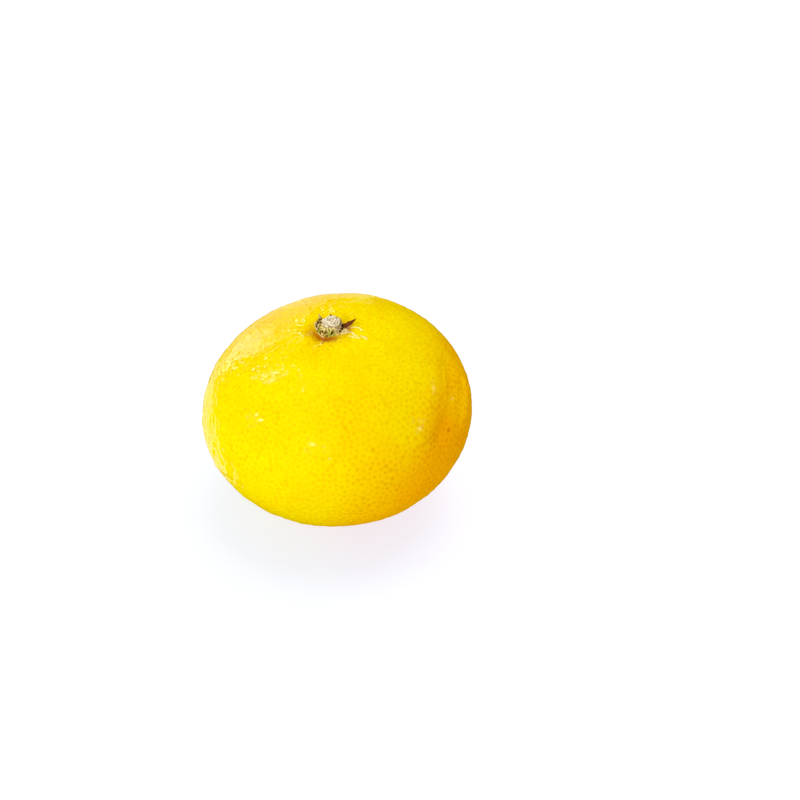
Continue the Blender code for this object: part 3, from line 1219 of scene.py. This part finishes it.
@dataclass
class StemStub:
    """The short stub of the cut stem, with a ringed and cracked top."""

    form: FruitForm
    finish: CutWood = field(default_factory=CutWood)
    radius: float = 2.2 * MM
    aside: float = 0.5 * MM
    foot: float = 1.2 * MM
    height: float = 2.66 * MM
    under_foot: float = 0.2 * MM
    under_share: float = 0.98
    top_share: float = 0.95
    top_drop: float = 0.14
    top_sharpness: int = 4
    flare: float = 0.10
    flare_bend: float = 1.6
    # Height, length and number of the waves in the outline.
    outline_waves: tuple[tuple[float, float, int], ...] = ((0.05, 1.3, 20), (0.02, 0.3, 24))
    relief: float = 0.26 * MM
    ring_gap: float = 0.62 * MM
    ring_waver: float = 0.30 * MM
    waver_length: float = 1.6 * MM
    web_gap: float = 1.25 * MM
    fine_gap: float = 0.55 * MM
    mean_rise: float = 0.46
    ring_share: float = 0.28
    web_share: float = 0.14
    fine_share: float = 0.08
    side_paleness: float = 0.45
    around: int = 200
    top_rings: int = 40
    side_rings: int = 16

    def build(self) -> bpy.types.Object:
        """Models the stub and dresses it.

        Returns:
            The piece that stands for the stem_stub solid.
        """
        bearing = np.arange(self.around) * (2.0 * math.pi / self.around)
        circle = np.stack([np.cos(bearing), np.sin(bearing), np.zeros(self.around)], axis=-1)
        outline = np.ones(self.around)
        for seed, (height, length, count) in enumerate(self.outline_waves, start=61):
            outline += height * random_waves(circle, length, count, seed)
        top_parts = np.linspace(0.0, 1.0, self.top_rings + 1)[1:]
        side_parts = np.linspace(0.0, 1.0, self.side_rings + 1)[1:]
        flared = self.flare * side_parts**self.flare_bend
        out = np.concatenate([self.top_share * top_parts, self.top_share + flared])
        rounded = self.top_drop * top_parts**self.top_sharpness
        steep = self.top_drop + (1.0 - self.top_drop) * side_parts
        down = np.concatenate([rounded, steep])
        spread = out[:, None] * outline[None, :] * self.radius
        x, y = spread * np.cos(bearing), spread * np.sin(bearing)
        on_top = np.concatenate([np.ones(self.top_rings), 1.0 - side_parts])[:, None]
        deep = np.broadcast_to(down[:, None] * (self.height - self.foot), spread.shape)
        raised = self.wood(spread, np.stack([x, y, deep], -1), on_top)
        z = self.height - deep + (raised - 0.5) * self.relief * on_top
        swollen = 1.0 + (raised - 0.5) * (self.relief / self.radius) * (1.0 - on_top)
        base = self.form.over_rind(np.zeros(1), np.zeros(1), np.zeros(1))[0]
        upper = np.stack([x * swollen + self.aside, y * swollen, z + base[2]], -1)
        under = upper.copy()
        under[..., 2] = base[2] + self.foot - self.under_foot
        under[..., :2] *= self.under_share
        mesh = polar_mesh(
            "stem_cut",
            self.form.settle(upper.reshape(-1, 3)).reshape(upper.shape),
            self.form.settle(under.reshape(-1, 3)).reshape(upper.shape),
        )
        store_faces(mesh, {"raised": raised * np.where(on_top < 1.0, self.side_paleness, 1.0)})
        return new_piece(mesh, self.finish.make(), "stem_stub")

    def wood(self, spread: np.ndarray, places: np.ndarray, on_top: np.ndarray) -> np.ndarray:
        """Relief of the cut: year rings with a web of fibres and cracks.

        Args:
            spread: Distances from the stub's middle, ring by place.
            places: Points of the plain stub, laid out the same way.
            on_top: One on the cut face, down to none at the foot.

        Returns:
            The relief, from 0 to 1.
        """
        flat = places.reshape(-1, 3)
        waver = random_waves(flat, self.waver_length, count=24, seed=63).reshape(spread.shape)
        turns = (spread + self.ring_waver * waver) / self.ring_gap
        rings = np.cos(turns * 2.0 * math.pi)
        web = 1.0 - np.abs(random_waves(flat, self.web_gap, count=30, seed=64))
        fine = random_waves(flat, self.fine_gap, count=30, seed=65)
        fibres = (self.web_share * web + self.fine_share * fine).reshape(spread.shape)
        return smooth(self.mean_rise + self.ring_share * rings * on_top + fibres)


@dataclass(frozen=True)
class BacklitAcrylic:
    """White acrylic sheet, cast matt and lit from behind."""

    white: str = "#A0A0A0"
    backlight: str = "#EAF0FF"
    glow: float = 0.80
    roughness: float = 0.95
    shine: float = 0.0

    def make(self) -> bpy.types.Material:
        """Builds the material.

        Returns:
            The material.
        """
        # An even white with soft shadows and no mirror image.
        material, _, shader = new_material("backlit_white_acrylic")
        shader.inputs["Base Color"].default_value = linear(self.white)
        shader.inputs["Emission Color"].default_value = linear(self.backlight)
        shader.inputs["Emission Strength"].default_value = self.glow
        shader.inputs["Roughness"].default_value = self.roughness
        shader.inputs["Specular IOR Level"].default_value = self.shine
        return material


class Lit(Enum):
    """What a light falls on."""

    ALL = "everything"
    FRUIT = "fruit_only"
    FLOOR = "floor_only"


@dataclass(frozen=True)
class Softbox:
    """A studio light, placed by its bearing and height as seen from the fruit, in degrees."""

    name: str
    bearing: float
    height: float
    distance: float
    width: float
    tall: float
    radiance: float
    lit: Lit = Lit.ALL
    glossy: bool = True
    diffuse: bool = True
    colour: str = "#FFFFFF"
    roll: float = 0.0
    round: bool = False

    def build(self, target: Vector, groups: dict[Lit, bpy.types.Collection]) -> bpy.types.Object:
        """Places the light so that it faces the target.

        Args:
            target: The point that it faces.
            groups: The pieces that each kind of light falls on.

        Returns:
            The light.
        """
        light = bpy.data.lights.new(self.name, "AREA")
        light.shape = "ELLIPSE" if self.round else "RECTANGLE"
        light.size, light.size_y = self.width, self.tall
        area = self.width * self.tall * (math.pi / 4 if self.round else 1.0)
        light.energy = self.radiance * math.pi * area
        light.color = linear(self.colour)[:3]
        lamp = bpy.data.objects.new(self.name, light)
        bearing, height = math.radians(self.bearing), math.radians(self.height)
        way = Vector(
            (
                math.cos(height) * math.cos(bearing),
                math.cos(height) * math.sin(bearing),
                math.sin(height),
            )
        )
        lamp.location = target + way * self.distance
        facing = way.to_track_quat("Z", "Y").to_matrix()
        facing = facing @ Matrix.Rotation(math.radians(self.roll), 3, "Z")
        lamp.rotation_euler = facing.to_euler()
        lamp.visible_camera = False
        lamp.visible_glossy = self.glossy
        lamp.visible_diffuse = self.diffuse
        if self.lit in groups:
            lamp.light_linking.receiver_collection = groups[self.lit]
        bpy.context.scene.collection.objects.link(lamp)
        return lamp


@dataclass
class Studio:
    """The pale floor, the soft light and the camera."""

    centre: Vector
    floor_finish: BacklitAcrylic = field(default_factory=BacklitAcrylic)
    image_px: int = 800
    lens_mm: float = 100.0
    sensor_mm: float = 36.0
    elevation: float = math.radians(38.0)
    distance: float = 0.5272
    fruit_px: tuple[float, float] = (338.0, 407.8)
    floor_size: float = 6.0
    floor_drop: float = 0.02 * MM
    nearest_seen: float = 0.01
    farthest_seen: float = 20.0
    world_strength: float = 0.62
    soft_white: str = "#FFFFFF"
    left_card: str = "#F6D200"
    right_card: str = "#C87800"
    card_span: tuple[float, float] = (0.1, 0.9)
    # Each light's name, bearing, height, distance, width, tallness and radiance.
    lights: tuple[Softbox, ...] = (
        Softbox("key", -135, 54, 0.9, 0.6, 0.6, 3.2, Lit.FRUIT, glossy=False),
        Softbox("front", -122, 17, 0.9, 0.5, 0.4, 1.5, Lit.FRUIT, glossy=False),
        Softbox("back_right", 68, 37, 0.9, 0.5, 0.5, 2.6, Lit.FRUIT, glossy=False),
        Softbox("floor_wash", 60, 72, 1.2, 1.0, 1.0, 2.8, Lit.FLOOR, glossy=False),
        Softbox("veil", 124.5, 8, 0.6, 0.18, 0.35, 1.5, diffuse=False),
        Softbox("veil_side", 106, -2, 0.6, 0.22, 0.50, 0.38, diffuse=False),
        Softbox("veil_far", 90.5, -13, 0.6, 0.13, 0.30, 0.35, diffuse=False),
        Softbox("veil_top", 120, 30, 0.6, 0.21, 0.12, 0.45, diffuse=False),
        Softbox("veil_low", 137.5, -31, 0.6, 0.48, 0.44, 0.70, diffuse=False, round=True),
        Softbox("warm_card", 40, -17, 0.6, 0.30, 0.16, 0.9, diffuse=False, colour="#FFD400"),
        Softbox("glint_left", 153, 48, 0.7, 0.009, 0.36, 28.0, diffuse=False),
        Softbox("glint_back", 104, 27, 0.7, 0.06, 0.04, 8.0, diffuse=False),
        Softbox("glint_side", 194, 26, 0.7, 0.016, 0.10, 18.0, diffuse=False, roll=-40.0),
        Softbox("glint_front", 246, 24, 0.7, 0.15, 0.012, 16.0, diffuse=False, roll=45.0),
        Softbox("glint_right", 16, 28, 0.7, 0.11, 0.014, 12.0, diffuse=False, roll=40.0),
        Softbox("glint_low", -18, 24, 0.7, 0.012, 0.12, 7.0, diffuse=False),
    )

    def build_camera(self) -> None:
        """Places the camera where the fruit falls on its place in the picture."""
        focal_px = self.lens_mm / self.sensor_mm * self.image_px
        middle = self.image_px / 2
        back = Vector((0.0, -math.cos(self.elevation), math.sin(self.elevation)))
        pan = math.atan2(middle - self.fruit_px[0], focal_px)
        nod = math.atan2(self.fruit_px[1] - middle, focal_px)
        look = (-back).to_track_quat("-Z", "Y").to_matrix()
        look = look @ Matrix.Rotation(-pan, 3, "Y") @ Matrix.Rotation(nod, 3, "X")
        data = bpy.data.cameras.new("camera")
        data.lens, data.sensor_width = self.lens_mm, self.sensor_mm
        data.clip_start, data.clip_end = self.nearest_seen, self.farthest_seen
        camera = bpy.data.objects.new("camera", data)
        eye = self.centre + back * self.distance
        camera.matrix_world = Matrix.Translation(eye) @ look.to_4x4()
        bpy.context.scene.collection.objects.link(camera)
        bpy.context.scene.camera = camera

    def build_floor(self) -> bpy.types.Object:
        """Lays a wide sheet of backlit white acrylic under the fruit.

        Returns:
            The floor.
        """
        bpy.ops.mesh.primitive_plane_add(size=self.floor_size, location=(0, 0, -self.floor_drop))
        floor = bpy.context.object
        floor.name = "floor"
        floor.data.materials.append(self.floor_finish.make())
        floor.visible_glossy = False
        return floor

    def build_light(self, pieces: list[bpy.types.Object], floor: bpy.types.Object) -> None:
        """Sets the lights in a white surround, which shows as coloured cards in the gloss.

        Args:
            pieces: The pieces of the fruit.
            floor: The floor.
        """
        world = bpy.data.worlds.new("surround")
        world.use_nodes = True
        background = world.node_tree.nodes["Background"]
        tree = world.node_tree
        way = add_node(tree, "ShaderNodeTexCoord").outputs["Generated"]
        split = add_node(tree, "ShaderNodeSeparateXYZ", {"Vector": way})
        start, end = self.card_span
        inputs = {"Value": split.outputs["X"], "From Min": start, "From Max": end}
        rightward = add_node(tree, "ShaderNodeMapRange", inputs).outputs["Result"]
        in_gloss = add_node(tree, "ShaderNodeLightPath").outputs["Is Glossy Ray"]
        left, right = linear(self.left_card), linear(self.right_card)
        inputs = {"Factor": rightward, "A": left, "B": right}
        cards = add_node(tree, "ShaderNodeMix", inputs, data_type="RGBA").outputs["Result"]
        inputs = {"Factor": in_gloss, "A": linear(self.soft_white), "B": cards}
        surround = add_node(tree, "ShaderNodeMix", inputs, data_type="RGBA").outputs["Result"]
        tree.links.new(surround, background.inputs["Color"])
        background.inputs["Strength"].default_value = self.world_strength
        bpy.context.scene.world = world
        groups: dict[Lit, bpy.types.Collection] = {}
        for lit, members in ((Lit.FRUIT, pieces), (Lit.FLOOR, [floor])):
            groups[lit] = bpy.data.collections.new(lit.value)
            for member in members:
                groups[lit].objects.link(member)
        for light in self.lights:
            light.build(self.centre, groups)

    def build(self, pieces: list[bpy.types.Object]) -> None:
        """Builds the floor, the light and the camera round the fruit.

        Args:
            pieces: The pieces of the fruit.
        """
        self.build_camera()
        self.build_light(pieces, self.build_floor())
        view = bpy.context.scene.view_settings
        view.view_transform = "Standard"
        view.look = "None"


def main() -> None:
    """Builds every piece in order and notes the sizes."""
    logging.basicConfig(level=logging.INFO, format="%(name)s: %(message)s")
    form = FruitForm()
    pieces = [
        Rind(form, OilGlands()).build(),
        Calyx(form).build(),
        StemStub(form).build(),
    ]
    Studio(Vector(form.centre())).build(pieces)
    for piece in pieces:
        log.info("%s: %d faces", piece.name, len(piece.data.polygons))


if __name__ == "__main__":
    main()
